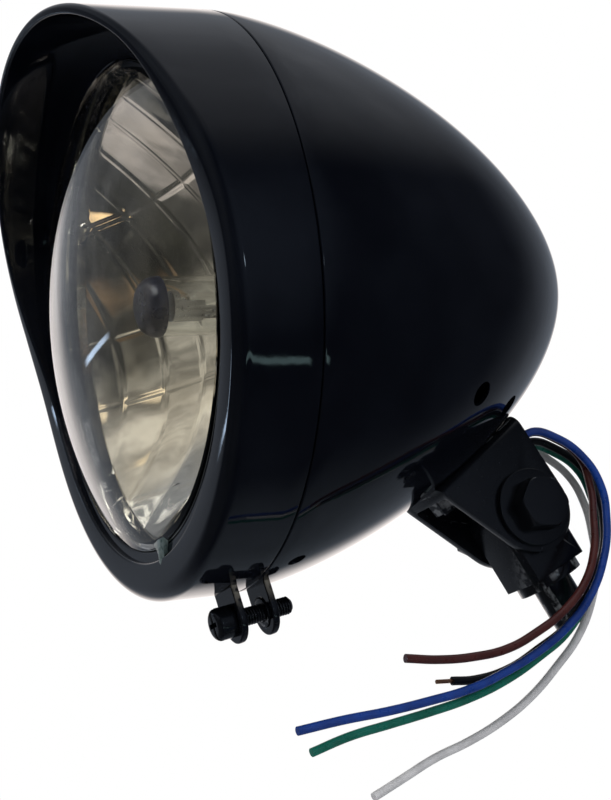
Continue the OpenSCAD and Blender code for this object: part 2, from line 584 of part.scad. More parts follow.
shell();
trim_ring();
clamp_screw();
clamp_nut();
lens();
lens_gasket();
lens_clips();
reflector();
bulb_glass();
bulb_electrodes();
bulb_base();
bulb_terminals();
bulb_clip();
dust_boot();
bulb_connector();
position_bulb();
position_holder();
mount_bracket();
bracket_bolts();
bracket_nuts();
wire_grommet();
wire_sleeve();
brown_wire();
blue_wire();
black_wire();
green_wire();
white_wire();
black_wire_core();
swivel_block();
pivot_bolt();
pivot_washers();
pivot_nut();
mounting_stud();
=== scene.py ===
import bmesh
import bpy
import math
from mathutils import Matrix, Vector


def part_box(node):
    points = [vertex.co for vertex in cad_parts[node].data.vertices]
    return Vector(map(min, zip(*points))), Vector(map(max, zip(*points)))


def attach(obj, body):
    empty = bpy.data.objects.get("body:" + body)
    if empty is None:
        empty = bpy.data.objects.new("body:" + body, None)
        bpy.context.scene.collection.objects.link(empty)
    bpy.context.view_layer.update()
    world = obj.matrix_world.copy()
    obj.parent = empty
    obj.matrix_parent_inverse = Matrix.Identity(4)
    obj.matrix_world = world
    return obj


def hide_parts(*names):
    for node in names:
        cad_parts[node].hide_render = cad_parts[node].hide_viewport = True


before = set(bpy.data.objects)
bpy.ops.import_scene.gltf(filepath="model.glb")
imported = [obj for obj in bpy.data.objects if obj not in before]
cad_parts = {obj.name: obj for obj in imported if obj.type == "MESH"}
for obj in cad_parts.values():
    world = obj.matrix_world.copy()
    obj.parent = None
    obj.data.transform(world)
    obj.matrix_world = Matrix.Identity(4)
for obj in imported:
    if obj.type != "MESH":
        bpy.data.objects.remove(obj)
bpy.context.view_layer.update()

# Sizes are in millimetres in the lamp's own frame: its axis is Y, the light shines toward -Y, and the seam
# of ring and shell is at y = 0. toRow turns them into metres in the row frame.
scene = bpy.context.scene
mm = 0.001
shellLength = 117
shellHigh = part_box("shell")[1]
lampAt = Vector((0, shellHigh.y - shellLength * mm, shellHigh.z - shellHigh.x))
print("frame loaded, lamp axis at", [round(v, 4) for v in lampAt])


def toLocal(x, y, z):
    return Vector((x, y, z)) * mm


def toRow(x, y, z):
    return lampAt + toLocal(x, y, z)


# An azimuth is 0 in front of the lamp and 90 on its near side
def facing(azimuth, elevation):
    turn, rise = math.radians(azimuth), math.radians(elevation)
    return Vector((math.sin(turn) * math.cos(rise), -math.cos(turn) * math.cos(rise), math.sin(rise)))


def linked(name, data):
    obj = bpy.data.objects.new(name, data)
    scene.collection.objects.link(obj)
    return obj


# Camera, where the photograph's was, with its roll
cameraView = {"azimuth": 63.7, "elevation": -14.42, "roll": -10.6, "eye": (413.2, -176.1, -148.4),
              "lens": 97.73, "sensor": 36, "clip": (0.01, 50)}


def makeCamera(view):
    data = bpy.data.cameras.new("photoCamera")
    data.sensor_fit = "HORIZONTAL"
    data.sensor_width, data.lens = view["sensor"], view["lens"]
    data.clip_start, data.clip_end = view["clip"]
    ahead = -facing(view["azimuth"], view["elevation"])
    level = ahead.to_track_quat("-Z", "Y").to_matrix().to_4x4()
    roll = Matrix.Rotation(math.radians(view["roll"]), 4, "Z")
    camera = linked("photoCamera", data)
    camera.matrix_world = Matrix.Translation(toRow(*view["eye"])) @ level @ roll
    scene.camera = camera


makeCamera(cameraView)


# A socket of a node tree, with the sums that materials use
class Signal:
    def __init__(self, tree, socket=None):
        self.tree = tree
        self.socket = socket

    def node(self, kind, settings=None, sockets=None, out=0):
        made = self.tree.nodes.new(kind)
        for key, value in (settings or {}).items():
            setattr(made, key, value)
        for key, value in (sockets or {}).items():
            entry = made.inputs[key]
            if isinstance(value, Signal):
                self.tree.links.new(value.socket, entry)
            else:
                entry.default_value = (*value, 1.0) if entry.type == "RGBA" else value
        return Signal(self.tree, made.outputs[out]) if made.outputs else self

    def maths(self, operation, first, second=0.0):
        return self.node("ShaderNodeMath", {"operation": operation}, {0: first, 1: second})

    def __add__(self, other):
        return self.maths("ADD", self, other)

    def __radd__(self, other):
        return self.maths("ADD", other, self)

    def __sub__(self, other):
        return self.maths("SUBTRACT", self, other)

    def __rsub__(self, other):
        return self.maths("SUBTRACT", other, self)

    def __mul__(self, other):
        return self.maths("MULTIPLY", self, other)

    def __rmul__(self, other):
        return self.maths("MULTIPLY", other, self)

    def __abs__(self):
        return self.maths("ABSOLUTE", self)

    def clip(self):
        return self.node("ShaderNodeMath", {"operation": "ADD", "use_clamp": True}, {0: self, 1: 0.0})

    def steps(self, low, high, toLow=0.0, toHigh=1.0):
        ends = {"Value": self, "From Min": low, "From Max": high, "To Min": toLow, "To Max": toHigh}
        return self.node("ShaderNodeMapRange", {"interpolation_type": "SMOOTHSTEP"}, ends)

    def blend(self, first, second):
        ends = {"Factor": self, "A": first, "B": second}
        return self.node("ShaderNodeMix", {"data_type": "RGBA"}, ends, out=2)  # the colour result

    def vector(self, operation, sockets, out=0):
        return self.node("ShaderNodeVectorMath", {"operation": operation}, sockets, out)

    def place(self):
        return self.node("ShaderNodeTexCoord", out="Object")

    def axis(self, name):
        return self.node("ShaderNodeSeparateXYZ", sockets={0: self.place()}, out=name)

    def edges(self):
        return self.node("ShaderNodeNewGeometry", out="Pointiness")

    def rays(self, kind):
        return self.node("ShaderNodeLightPath", out="Is " + kind + " Ray")

    def noise(self, scale, detail=3.0, roughness=0.5):
        entries = {"Vector": self.place(), "Scale": scale, "Detail": detail, "Roughness": roughness}
        return self.node("ShaderNodeTexNoise", sockets=entries)

    def cells(self, scale):
        return self.node("ShaderNodeTexVoronoi", sockets={"Vector": self.place(), "Scale": scale})

    def bump(self, height, depth, strength):  # depth in millimetres
        entries = {"Height": height, "Distance": depth * mm, "Strength": strength}
        return self.node("ShaderNodeBump", sockets=entries)


# The emptied node tree of a material or of the world
def emptied(owner):
    owner.use_nodes = True
    owner.node_tree.nodes.clear()
    return Signal(owner.node_tree)


def newMaterial(name):
    material = bpy.data.materials.new(name)
    return material, emptied(material)


def finished(material, surface):
    surface.node("ShaderNodeOutputMaterial", sockets={"Surface": surface})
    return material


def principled(material, start, sockets):
    return finished(material, start.node("ShaderNodeBsdfPrincipled", sockets=sockets))


# Gloss paint: deep black with a blue cast, a faint haze and a little orange peel
glossLook = {"deep": (0.0012, 0.0016, 0.0032), "haze": (0.003, 0.0038, 0.0062), "rough": (0.035, 0.075),
             "peel": 0.35, "ior": 1.45}


def glossPaint(name, look):
    material, start = newMaterial(name)
    cloud = start.noise(35, 4).steps(0.35, 0.7)
    return principled(material, start, {
        "Base Color": cloud.blend(look["deep"], look["haze"]),
        "Roughness": start.noise(260).steps(0.3, 0.8, *look["rough"]),
        "Normal": start.bump(start.noise(420, 1.0), 0.02, look["peel"]),
        "IOR": look["ior"]})


# Satin black on steel: fine grain, and pale "bare" lines along the edges, which are worn paint and also a
# painted highlight on the bevels
satinLook = {"deep": (0.0018, 0.0023, 0.0036), "pale": (0.0032, 0.0038, 0.0056), "bare": (0.16, 0.17, 0.18),
             "spread": (-0.05, 0.06), "grain": 0.08}


def satinBlack(name, rough, wearAndHighlight):
    look = satinLook
    material, start = newMaterial(name)
    grain = start.noise(900, 4)
    # Pale edges by pointiness: worn paint, and also a painted highlight along the bevels
    worn = (start.edges().steps(0.54, 0.62) * start.noise(400).steps(0.4, 0.6) * wearAndHighlight).clip()
    base = start.noise(40).steps(0.3, 0.7).blend(look["deep"], look["pale"])
    return principled(material, start, {
        "Base Color": worn.blend(base, look["bare"]),
        "Roughness": grain.steps(0.3, 0.75, *(rough + change for change in look["spread"])),
        "Normal": start.bump(grain, 0.02, look["grain"])})


# Black paint rubbed through to bright steel along an ear's edges
wornLook = {"deep": (0.0016, 0.002, 0.0034), "pale": (0.004, 0.0046, 0.007), "bare": (0.5, 0.45, 0.36),
            "metallic": 0.9, "rough": (0.07, 0.16), "step": 0.4}


def edgeWornPaint(name, look):
    material, start = newMaterial(name)
    base = start.noise(60).blend(look["deep"], look["pale"])
    worn = (start.edges().steps(0.56, 0.66) * start.noise(500, 4).steps(0.38, 0.55)).clip()
    return principled(material, start, {
        "Base Color": worn.blend(base, look["bare"]),
        "Metallic": worn * look["metallic"],
        "Roughness": start.noise(300).steps(0.3, 0.7, *look["rough"]),
        "Normal": start.bump(worn, 0.04, look["step"])})


def rubber(name, tone):
    material, start = newMaterial(name)
    dark, pale = (tone * 0.6, tone * 0.6, tone * 0.65), (tone, tone, tone * 1.05)
    return principled(material, start, {
        "Base Color": start.noise(220, 4).blend(dark, pale),
        "Roughness": start.noise(300).steps(0.3, 0.7, 0.55, 0.8),
        "Normal": start.bump(start.noise(1500), 0.04, 0.4)})


# Plated or bare metal, with a brushed grain and small stains
def metal(name, light, dark, rough):
    material, start = newMaterial(name)
    lines = start.noise(1200, 4, 0.6)
    stains = start.noise(180, 5).steps(0.48, 0.72) * 0.5
    return principled(material, start, {
        "Base Color": stains.blend(light, dark),
        "Metallic": 1.0,
        "Roughness": lines.steps(0.25, 0.8, rough - 0.06, rough + 0.12),
        "Normal": start.bump(lines, 0.02, 0.3)})


# Vapour-plated plastic: almost a mirror, with a faint haze and dust
plateLook = {"clean": (0.88, 0.86, 0.81), "hazy": (0.76, 0.73, 0.66), "rough": 0.03, "hazeRough": 0.05,
             "dustRough": 0.2, "waves": 0.45}


def mirrorPlate(name, look):
    material, start = newMaterial(name)
    haze = start.noise(55, 4).steps(0.4, 0.75)
    dust = start.cells(900).steps(0.05, 0.0)
    return principled(material, start, {
        "Base Color": haze.blend(look["clean"], look["hazy"]),
        "Metallic": 1.0,
        "Roughness": (haze * look["hazeRough"] + dust * look["dustRough"] + look["rough"]).clip(),
        "Normal": start.bump(start.noise(60, 2), 0.2, look["waves"])})


# Clear moulding: refracts for the eye, and lets light from the lamps through to what is behind it
glassLook = {"tint": (0.96, 0.975, 0.97), "soiled": 0.85, "rough": (0.0, 0.02)}


def clearGlass(name, ior):
    look = glassLook
    material, start = newMaterial(name)
    soil = start.noise(80).steps(0.4, 0.8, 0.0, 0.03)
    glass = start.node("ShaderNodeBsdfPrincipled", sockets={
        "Base Color": soil.blend(look["tint"], tuple(c * look["soiled"] for c in look["tint"])),
        "Roughness": start.noise(240).steps(0.3, 0.8, *look["rough"]),
        "Transmission Weight": 1.0,
        "IOR": ior})
    clear = start.node("ShaderNodeBsdfTransparent", sockets={"Color": look["tint"]})
    both = start.node("ShaderNodeMixShader", sockets={0: start.rays("Shadow"), 1: glass, 2: clear})
    return finished(material, both)


# Soft patches of two colours, uneven gloss and a fine grain: "patches" and "grain" are a noise's scale and
# detail, "gloss" is a scale
def mottled(name, look):
    material, start = newMaterial(name)
    return principled(material, start, {
        "Base Color": start.noise(*look["patches"]).steps(0.3, 0.7).blend(*look["colours"]),
        "Roughness": start.noise(look["gloss"]).steps(0.3, 0.7, *look["rough"]),
        "Normal": start.bump(start.noise(*look["grain"]), look["depth"], look["strength"])})


paint = glossPaint("gloss_black_paint", glossLook)
# The satin finishes' pale edge lines are worn paint and also a painted highlight along the bevels
satin = satinBlack("satin_black_steel", rough=0.22, wearAndHighlight=0.5)
satinFine = satinBlack("black_fastener", rough=0.19, wearAndHighlight=0.8)
earPaint = edgeWornPaint("edge_worn_paint", wornLook)
blackRubber = rubber("black_rubber", tone=0.012)
blackPlastic = rubber("black_plastic", tone=0.02)
zinc = metal("zinc_plate", (0.62, 0.62, 0.58), (0.4, 0.38, 0.33), 0.28)
tinned = metal("tinned_brass", (0.7, 0.6, 0.42), (0.5, 0.4, 0.24), 0.25)
steel = metal("bare_steel", (0.55, 0.55, 0.56), (0.3, 0.29, 0.28), 0.3)
copper = metal("bare_copper", (0.72, 0.36, 0.2), (0.38, 0.17, 0.09), 0.3)
chrome = mirrorPlate("vapour_plated_mirror", plateLook)
lensGlass = clearGlass("clear_lens_glass", ior=1.49)
bulbGlass = clearGlass("bulb_glass", ior=1.47)
print("materials made")


# Cords: the five wires repeat the routes of the CAD solids, from the grommet's face
wireForm = {"diameter": 2.4, "exit": ((86.06, -50.32), (87.15, -52.0)), "roundness": 5, "smoothness": 8}
wireLook = {"patches": (160, 3), "gloss": 500, "rough": (0.26, 0.42), "grain": (1400, 2), "depth": 0.03,
            "strength": 0.3}
wires = {
    "brown_wire": {"x": 3, "length": 147.8, "colours": ((0.045, 0.011, 0.01), (0.065, 0.016, 0.014)),
                   "route": [
        (3.5, 99, -45.5), (5, 106, -48.5), (7.5, 111, -55), (10.5, 110.5, -65), (15, 106, -75),
        (19.5, 100.5, -85.5), (22, 93.5, -94.5), (23.5, 83.5, -102), (25, 72.5, -107), (26, 61.5, -110.5),
        (27, 50, -111.5), (27.5, 39, -111), (28, 29, -109.5)]},
    "blue_wire": {"x": 6, "length": 185.8, "colours": ((0.005, 0.03, 0.18), (0.006, 0.042, 0.25)),
                   "route": [
        (6.5, 97, -46), (8.5, 104, -49), (11, 109.5, -55.5), (13.5, 112, -65), (15.5, 110, -76.5),
        (17.5, 104.5, -88), (19, 95.5, -99), (20.5, 85, -106.5), (22, 73.5, -112), (23, 60.5, -116.5),
        (24, 48.5, -119.5), (24.5, 35.5, -121), (25, 23, -122), (25.5, 9.5, -122.5), (26, -4, -123.5)]},
    "black_wire": {"x": 0, "length": 137.5, "colours": ((0.003, 0.003, 0.004), (0.006, 0.006, 0.008)),
                   "core": "black_wire_core", "route": [
        (0.5, 100.5, -47.5), (1.5, 107.5, -50.5), (3.5, 113.5, -57), (6.5, 115, -66.5), (10, 112.5, -76.5),
        (14, 106, -87.5), (16, 97.5, -97.5), (17.5, 87.5, -105.5), (19, 75.5, -111), (20, 63.5, -115.5),
        (21, 52, -117), (21.5, 45, -116.5)]},
    "green_wire": {"x": -3, "length": 184.8, "colours": ((0.004, 0.11, 0.075), (0.005, 0.15, 0.105)),
                   "route": [
        (-2.5, 102, -48), (-1.5, 108.5, -51), (0.5, 114, -57), (3.5, 115, -67), (7, 112.5, -77),
        (11, 106.5, -88), (13, 99, -98), (14.5, 89, -107), (16, 77, -113), (17, 64.5, -118),
        (18, 51, -121.5), (18.5, 38, -123.5), (19, 25.5, -125), (19.5, 13, -126.5), (20, 1.5, -129)]},
    "white_wire": {"x": -6, "length": 174.6, "colours": ((0.5, 0.5, 0.51), (0.62, 0.62, 0.63)),
                   "route": [
        (-5.5, 103, -48.5), (-4.5, 108.5, -52.5), (-2.5, 113, -59), (0.5, 114, -68), (4, 112, -78),
        (8, 108, -88.5), (10, 102.5, -98.5), (11.5, 94.5, -108), (13, 84, -116), (14, 72.5, -123.5),
        (15, 60.5, -129), (15.5, 50, -132.5), (16, 38, -135.5), (16.5, 28, -139), (17, 18, -142.5)]},
}


def makeWire(name, wire):
    curve = bpy.data.curves.new(name, "CURVE")
    curve.dimensions = "3D"
    curve.bevel_depth = wireForm["diameter"] / 2 * mm
    curve.bevel_resolution = wireForm["roundness"]
    curve.resolution_u = wireForm["smoothness"]
    curve.use_fill_caps = True
    points = [(wire["x"], y, z) for y, z in wireForm["exit"]] + wire["route"]
    spline = curve.splines.new("BEZIER")
    spline.bezier_points.add(len(points) - 1)
    for knot, point in zip(spline.bezier_points, points):
        knot.co = toRow(*point)
        knot.handle_left_type = knot.handle_right_type = "AUTO"
    obj = linked(name + "_cord", curve)
    curve.materials.append(mottled(name + "_cover", wireLook | {"colours": wire["colours"]}))
    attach(obj, "lamp")
    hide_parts(name)
    bareEnd = [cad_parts[wire["core"]]] if "core" in wire else []
    toRow(*points[0])


for wireName, wireValues in wires.items():
    makeWire(wireName, wireValues)
print("wires made")


def placePiece(name, mesh, material, node=None, body="lamp", slot=None, crease=35):
    mesh.shade_smooth()
    mesh.set_sharp_from_angle(angle=math.radians(crease))
    mesh.materials.clear()
    mesh.materials.append(material)
    obj = linked(name, mesh)
    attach(obj, body)
    if node:
        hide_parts(node)
    slot or node


# A clean mesh: points that lie within "join" metres of each other become one
def meshOf(name, points, faces, join=1e-7, slivers=False):
    mesh = bpy.data.meshes.new(name)
    mesh.from_pydata([tuple(p) for p in points], [], faces)
    form = bmesh.new()
    form.from_mesh(mesh)
    bmesh.ops.remove_doubles(form, verts=form.verts, dist=join)
    if slivers:
        bmesh.ops.dissolve_degenerate(form, edges=form.edges, dist=1e-7)
    bmesh.ops.recalc_face_normals(form, faces=form.faces)
    form.to_mesh(mesh)
    form.free()
    return mesh


def toMesh(name, form):
    mesh = bpy.data.meshes.new(name)
    form.to_mesh(mesh)
    form.free()
    return mesh


# Faces of a lattice of points, row by row; each way it runs on from its end to its start, or stops
def lattice(rows, count, closeRows=True, closeCount=True):
    faces = []
    for i in range(rows if closeRows else rows - 1):
        j = (i + 1) % rows
        for k in range(count if closeCount else count - 1):
            n = (k + 1) % count
            faces.append((i * count + k, i * count + n, j * count + n, j * count + k))
    return faces


# Points of an arc as (along, out) pairs
def arc(along, out, radius, start, end, steps=8):
    turns = [math.radians(start + (end - start) * i / steps) for i in range(steps + 1)]
    return [(along + radius * math.sin(t), out + radius * math.cos(t)) for t in turns]


# A section of (y, r) pairs, turned round the lamp's axis
def turned(section, around, closed=True, place=toRow):
    points = []
    for i in range(around):
        turn = math.tau * i / around
        points += [place(r * math.sin(turn), y, r * math.cos(turn)) for y, r in section]
    return points, lattice(around, len(section), closeCount=closed)


def applied(obj):
    bpy.context.view_layer.update()
    graph = bpy.context.evaluated_depsgraph_get()
    mesh = bpy.data.meshes.new_from_object(obj.evaluated_get(graph))
    bpy.data.objects.remove(obj)
    return mesh


# Tools that cut a round hole along a direction, or a slot in a given space
def roundCutter(at, direction, radius, length):
    form = bmesh.new()
    bmesh.ops.create_cone(form, cap_ends=True, segments=48, radius1=radius * mm, radius2=radius * mm,
                          depth=length * mm)
    turn = Vector(direction).normalized().to_track_quat("Z", "Y").to_matrix().to_4x4()
    bmesh.ops.transform(form, matrix=Matrix.Translation(toRow(*at)) @ turn, verts=form.verts)
    return linked("cutter", toMesh("cutter", form))


def slotCutter(space, at, size):
    form = bmesh.new()
    bmesh.ops.create_cube(form, size=1)
    scale = Matrix.Diagonal((*toLocal(*size), 1))
    bmesh.ops.transform(form, matrix=space @ Matrix.Translation(toLocal(*at)) @ scale, verts=form.verts)
    return linked("cutter", toMesh("cutter", form))


def cut(mesh, cutters):
    obj = linked("cutting", mesh)
    for tool in cutters:
        hole = obj.modifiers.new("hole", "BOOLEAN")
        hole.operation = "DIFFERENCE"
        hole.solver = "EXACT"
        hole.object = tool
    result = applied(obj)
    for tool in cutters:
        bpy.data.objects.remove(tool)
    return result


# Shell: a spun bullet form. The drain hole has a place, and the vents have a distance behind the seam and an
# angle from the bottom, on each side.
shellForm = {"radius": shellHigh.x / mm, "length": shellLength, "early": 1.46, "blunt": 1.65, "wall": 1.2,
             "around": 256, "along": 90, "edge": 0.5, "edgeDrop": 0.05, "spigot": 4, "spigotOut": 1.8,
             "spigotIn": 2.9, "root": (3, 3.2), "lean": 0.6, "noseClear": 2, "drainAt": (18, 8, -78),
             "drain": 2.5, "vents": ((59, 45), (78, 31)), "vent": 3.5, "cutLength": 24}


def shellOut(y):
    form = shellForm
    return form["radius"] * max(0, 1 - min(1, y / form["length"]) ** form["early"]) ** (1 / form["blunt"])


def shellSection():
    form = shellForm
    radius, length, wall, edge, steps = (form[key] for key in ("radius", "length", "wall", "edge", "along"))
    heights = [length * math.sin(math.pi / 2 * i / steps) for i in range(2, steps)]  # closest at the nose
    outside = [(y, shellOut(y)) for y in heights]
    inner = [(y, r) for y, r in outside if y < length - form["noseClear"]]
    inside = [(y - wall * form["lean"], max(0.001, r - wall)) for y, r in inner]
    seam = arc(edge, radius - edge - form["edgeDrop"], edge, -90, 0, 6)
    front = [(form["root"][0], radius - form["root"][1]), (-form["spigot"], radius - form["spigotIn"]),
             (-form["spigot"], radius - form["spigotOut"]), (0, radius - form["spigotOut"])]
    return front + seam + outside + [(length, 0), (length - wall, 0)] + inside[::-1]


def makeShell():
    form = shellForm
    tools = [roundCutter(form["drainAt"], (0, 0, 1), form["drain"], form["cutLength"])]
    for y, angle in form["vents"]:
        turn = math.radians(angle)
        for side in (-1, 1):
            away = Vector((side * math.sin(turn), 0, -math.cos(turn)))
            at = away * shellOut(y) + Vector((0, y, 0))
            tools.append(roundCutter(at, away, form["vent"], form["cutLength"]))
    mesh = meshOf("shell_skin", *turned(shellSection(), form["around"]), join=1e-6)
    placePiece("shell_skin", cut(mesh, tools), paint, "shell", crease=30)


makeShell()
print("shell made")


# Trim ring and visor: one section swept round, longer toward the top. "ease" softens the place where the
# visor runs into the lip, and the lip grows between two angles from the top.
ringForm = {"width": 22.5, "wall": 1.5, "reach": 20, "topLip": 3, "lip": 11, "opening": 68, "recess": 1,
            "gap": 0.3, "flangeBack": -19.5, "ease": 4.5, "lipFrom": 48, "lipTo": 96, "around": 360,
            "seamRound": 0.4, "frontRound": 4, "lipRound": 0.8, "mouthRound": 0.7, "corner": 1.5}


def ringSection(turn):
    form, radius = ringForm, shellForm["radius"]
    ease = form["ease"]
    rise = (form["reach"] - ease ** 2 / 4 / form["reach"]) * math.cos(turn)
    out = (rise + math.sqrt(rise ** 2 + ease ** 2)) / 2
    angle = abs(math.degrees(turn))
    share = min(1, max(0, (angle - form["lipFrom"]) / (form["lipTo"] - form["lipFrom"])))
    lip = form["topLip"] + (form["lip"] - form["topLip"]) * share ** 2 * (3 - 2 * share)
    front, inside, corner = -form["width"] - out, radius - form["wall"], form["corner"]
    seam, bead, mouth = form["seamRound"], form["lipRound"], form["mouthRound"]
    edge = min(form["frontRound"], lip / 2)
    rear, fore = -form["gap"] - seam, front + edge
    face = -form["width"] + form["recess"]
    section = arc(rear, radius - seam, seam, 90, 0, 4)
    section += [(fore + (rear - fore) * share, radius) for share in (0.8, 0.6, 0.4, 0.2)]
    section += arc(fore, radius - edge, edge, 0, -90, 12)
    section += arc(front + bead, radius - lip + bead, bead, -90, -180, 6)
    section += [(face, radius - lip)]
    section += arc(face + mouth, form["opening"] + mouth, mouth, -90, -180, 5)
    section += [(form["flangeBack"], form["opening"]), (form["flangeBack"], inside - corner),
                (form["flangeBack"] + corner, inside), (-form["gap"], inside)]
    return section


def makeRing():
    around = ringForm["around"]
    points = []
    for i in range(around):
        turn = -math.pi + math.tau * i / around
        section = ringSection(turn)
        points += [toRow(r * math.sin(turn), y, r * math.cos(turn)) for y, r in section]
    mesh = meshOf("trim_ring_and_visor", points, lattice(around, len(section)))
    placePiece("trim_ring_and_visor", mesh, paint, "trim_ring", crease=38)


makeRing()
print("ring made")


# Clamp ears: stamped plates with a round end, welded to the ring and to the shell. Their tops run into the
# ring and the shell by "sunk".
earForm = {"width": 13, "thick": 2, "front": -6, "gap": 7.6, "drop": 7.5, "tilt": 8, "bore": 2.75,
           "nutBore": 4.05, "soft": 0.5, "sunk": (0.7, 0.9), "steps": 32, "boreSteps": 40}
rearEar = earForm["front"] + earForm["thick"] + earForm["gap"]
clampZ = -(shellForm["radius"] + earForm["drop"])
clampMid = earForm["front"] + earForm["thick"] + earForm["gap"] / 2


def clampSpace():
    tilt = Matrix.Rotation(math.radians(earForm["tilt"]), 4, "X")
    there, back = Matrix.Translation(toRow(0, clampMid, clampZ)), Matrix.Translation(toLocal(0, -clampMid, 0))
    return there @ tilt @ back


# A flat plate from an outline and a hole, with softened edges; it lies in X and Y and is centred in Z
def plate(outline, hole, thick, soft):
    curve = bpy.data.curves.new("plate", "CURVE")
    curve.dimensions = "2D"
    curve.fill_mode = "BOTH"
    curve.extrude = (thick / 2 - soft) * mm
    curve.bevel_depth = soft * mm
    curve.bevel_resolution = 2
    for loop in (outline, hole):
        spline = curve.splines.new("POLY")
        spline.points.add(len(loop) - 1)
        for knot, (x, y) in zip(spline.points, loop):
            knot.co = (x * mm, y * mm, 0, 1)
        spline.use_cyclic_u = True
    return applied(linked("plate", curve))


def roundLine(radius, first, last, steps):
    turns = [first + (last - first) * i / steps for i in range(steps + 1)]
    return [(radius * math.cos(t), radius * math.sin(t)) for t in turns]


def makeEar(name, y, top, node, bore):
    form, soft = earForm, earForm["soft"]
    end = form["width"] / 2 - soft
    outline = roundLine(end, math.pi, math.tau, form["steps"]) + [(end, top), (-end, top)]
    hole = roundLine(bore + soft, 0, math.tau, form["boreSteps"])[:-1]
    mesh = plate(outline, hole, form["thick"], soft)
    middle = Matrix.Translation(toLocal(0, y + form["thick"] / 2, 0))
    mesh.transform(clampSpace() @ middle @ Matrix.Rotation(math.radians(90), 4, "X"))
    placePiece(name, mesh, earPaint, node, crease=50)


frontTop = earForm["drop"] + earForm["sunk"][0]
rearTop = -clampZ - shellOut(rearEar) + earForm["sunk"][1]
makeEar("front_clamp_ear", earForm["front"], frontTop, "trim_ring", earForm["bore"])
makeEar("rear_clamp_ear", rearEar, rearTop, "shell", earForm["nutBore"])
print("ears made")


# Clamp screw: a domed head with a slot and a cross slot, and a thread. "flank" and "crest" shape a tooth.
screwForm = {"diameter": 5, "pitch": 0.8, "head": 9, "headHeight": 5.5, "tail": 6.4, "buried": 0.2,
             "headRound": 1.6, "headEdge": 0.3, "slots": ((1.5, 3.4, 12), (4.8, 4.4, 1.3)), "depth": 0.54,
             "flank": 4.4, "crest": 0.6, "chamfer": 0.8, "around": 40, "perPitch": 8, "headAround": 64}


# A threaded rod along +Y from y0 to y1: its radius follows a helix
def threadedRod(y0, y1):
    form, around = screwForm, screwForm["around"]
    radius, pitch = form["diameter"] / 2, form["pitch"]
    rings = int((y1 - y0) / (pitch / form["perPitch"]))
    points = []
    for i in range(rings + 1):
        y = y0 + (y1 - y0) * i / rings
        limit = radius - max(0, form["chamfer"] - min(y - y0, y1 - y))
        for k in range(around):
            turn = math.tau * k / around
            wave = (y / pitch - k / around) % 1
            tooth = min(1, max(0, form["flank"] * abs(wave - 0.5) - form["crest"]))
            r = min(radius - form["depth"] * pitch * (1 - tooth), limit)
            points.append(toLocal(r * math.sin(turn), y, r * math.cos(turn)))
    faces = lattice(rings + 1, around, closeRows=False)
    faces.append(tuple(range(around))[::-1])
    faces.append(tuple(rings * around + k for k in range(around)))
    return points, faces


def headSection():
    form, back, radius = screwForm, earForm["front"], screwForm["head"] / 2
    face, dome, edge = back - form["headHeight"], form["headRound"], form["headEdge"]
    section = [(face, 0.0)] + arc(face + dome, radius - dome, dome, -90, 0)
    return section + arc(back - edge, radius - edge, edge, 0, 90, 3) + [(back, 0.0)]


def makeClampScrew():
    form, space = screwForm, clampSpace()
    head = meshOf("head", *turned(headSection(), form["headAround"], closed=False, place=toLocal))
    head.transform(space)
    face = earForm["front"] - form["headHeight"]
    head = cut(head, [slotCutter(space, (0, face, 0), size) for size in form["slots"]])
    tip = rearEar + earForm["thick"] + form["tail"]
    rod = meshOf("rod", *threadedRod(earForm["front"] - form["buried"], tip))
    rod.transform(space)
    both = bmesh.new()
    for part in (head, rod):
        both.from_mesh(part)
    placePiece("slotted_clamp_screw", toMesh("slotted_clamp_screw", both), satinFine, "clamp_screw")


makeClampScrew()
print("clamp made")


# Fittings: the forms of the CAD nodes, with their edges softened
softForm = {"steps": 3, "edgeAngle": 28, "flatAngle": 0.5, "crease": 30}
fittings = {
    "mount_bracket": {"name": "folded_bracket", "finish": satin, "soft": 0.45, "body": "lamp"},
    "swivel_block": {"name": "stud_block", "finish": satin, "soft": 0.5, "body": "mount"},
    "pivot_bolt": {"name": "hex_pivot_bolt", "finish": satinFine, "soft": 0.3, "body": "mount"},
    "pivot_washers": {"name": "pivot_washer_pair", "finish": satinFine, "soft": 0.25, "body": "mount"},
    "pivot_nut": {"name": "hex_pivot_nut", "finish": satinFine, "soft": 0.3, "body": "mount"},
    "mounting_stud": {"name": "collar_stud", "finish": satinFine, "soft": 0.3, "body": "mount"},
    "clamp_nut": {"name": "pressed_clamp_nut", "finish": satinFine, "soft": 0.2, "body": "lamp"},
}


def makeFitting(node, name, finish, soft, body):
    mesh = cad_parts[node].data.copy()
    form = bmesh.new()
    form.from_mesh(mesh)
    bmesh.ops.remove_doubles(form, verts=form.verts, dist=1e-6)
    flat = math.radians(softForm["flatAngle"])
    bmesh.ops.dissolve_limit(form, angle_limit=flat, verts=form.verts, edges=form.edges)
    form.to_mesh(mesh)
    form.free()
    obj = linked(name + "_raw", mesh)
    bevel = obj.modifiers.new("edges", "BEVEL")
    bevel.width = soft * mm
    bevel.segments = softForm["steps"]
    bevel.limit_method = "ANGLE"
    bevel.angle_limit = math.radians(softForm["edgeAngle"])
    bevel.use_clamp_overlap = True
    placePiece(name, applied(obj), finish, node, body, crease=softForm["crease"])


for nodeName, fitting in fittings.items():
    makeFitting(nodeName, **fitting)
print("fittings made")


# Lens: a clear dome with a flange behind the ring
lensForm = {"radius": 67.5, "bulge": 15.3, "thick": 3, "edge": -22, "rim": 74, "flangeFront": -18.4,
            "flangeThick": 2.4, "steps": 48, "around": 192}


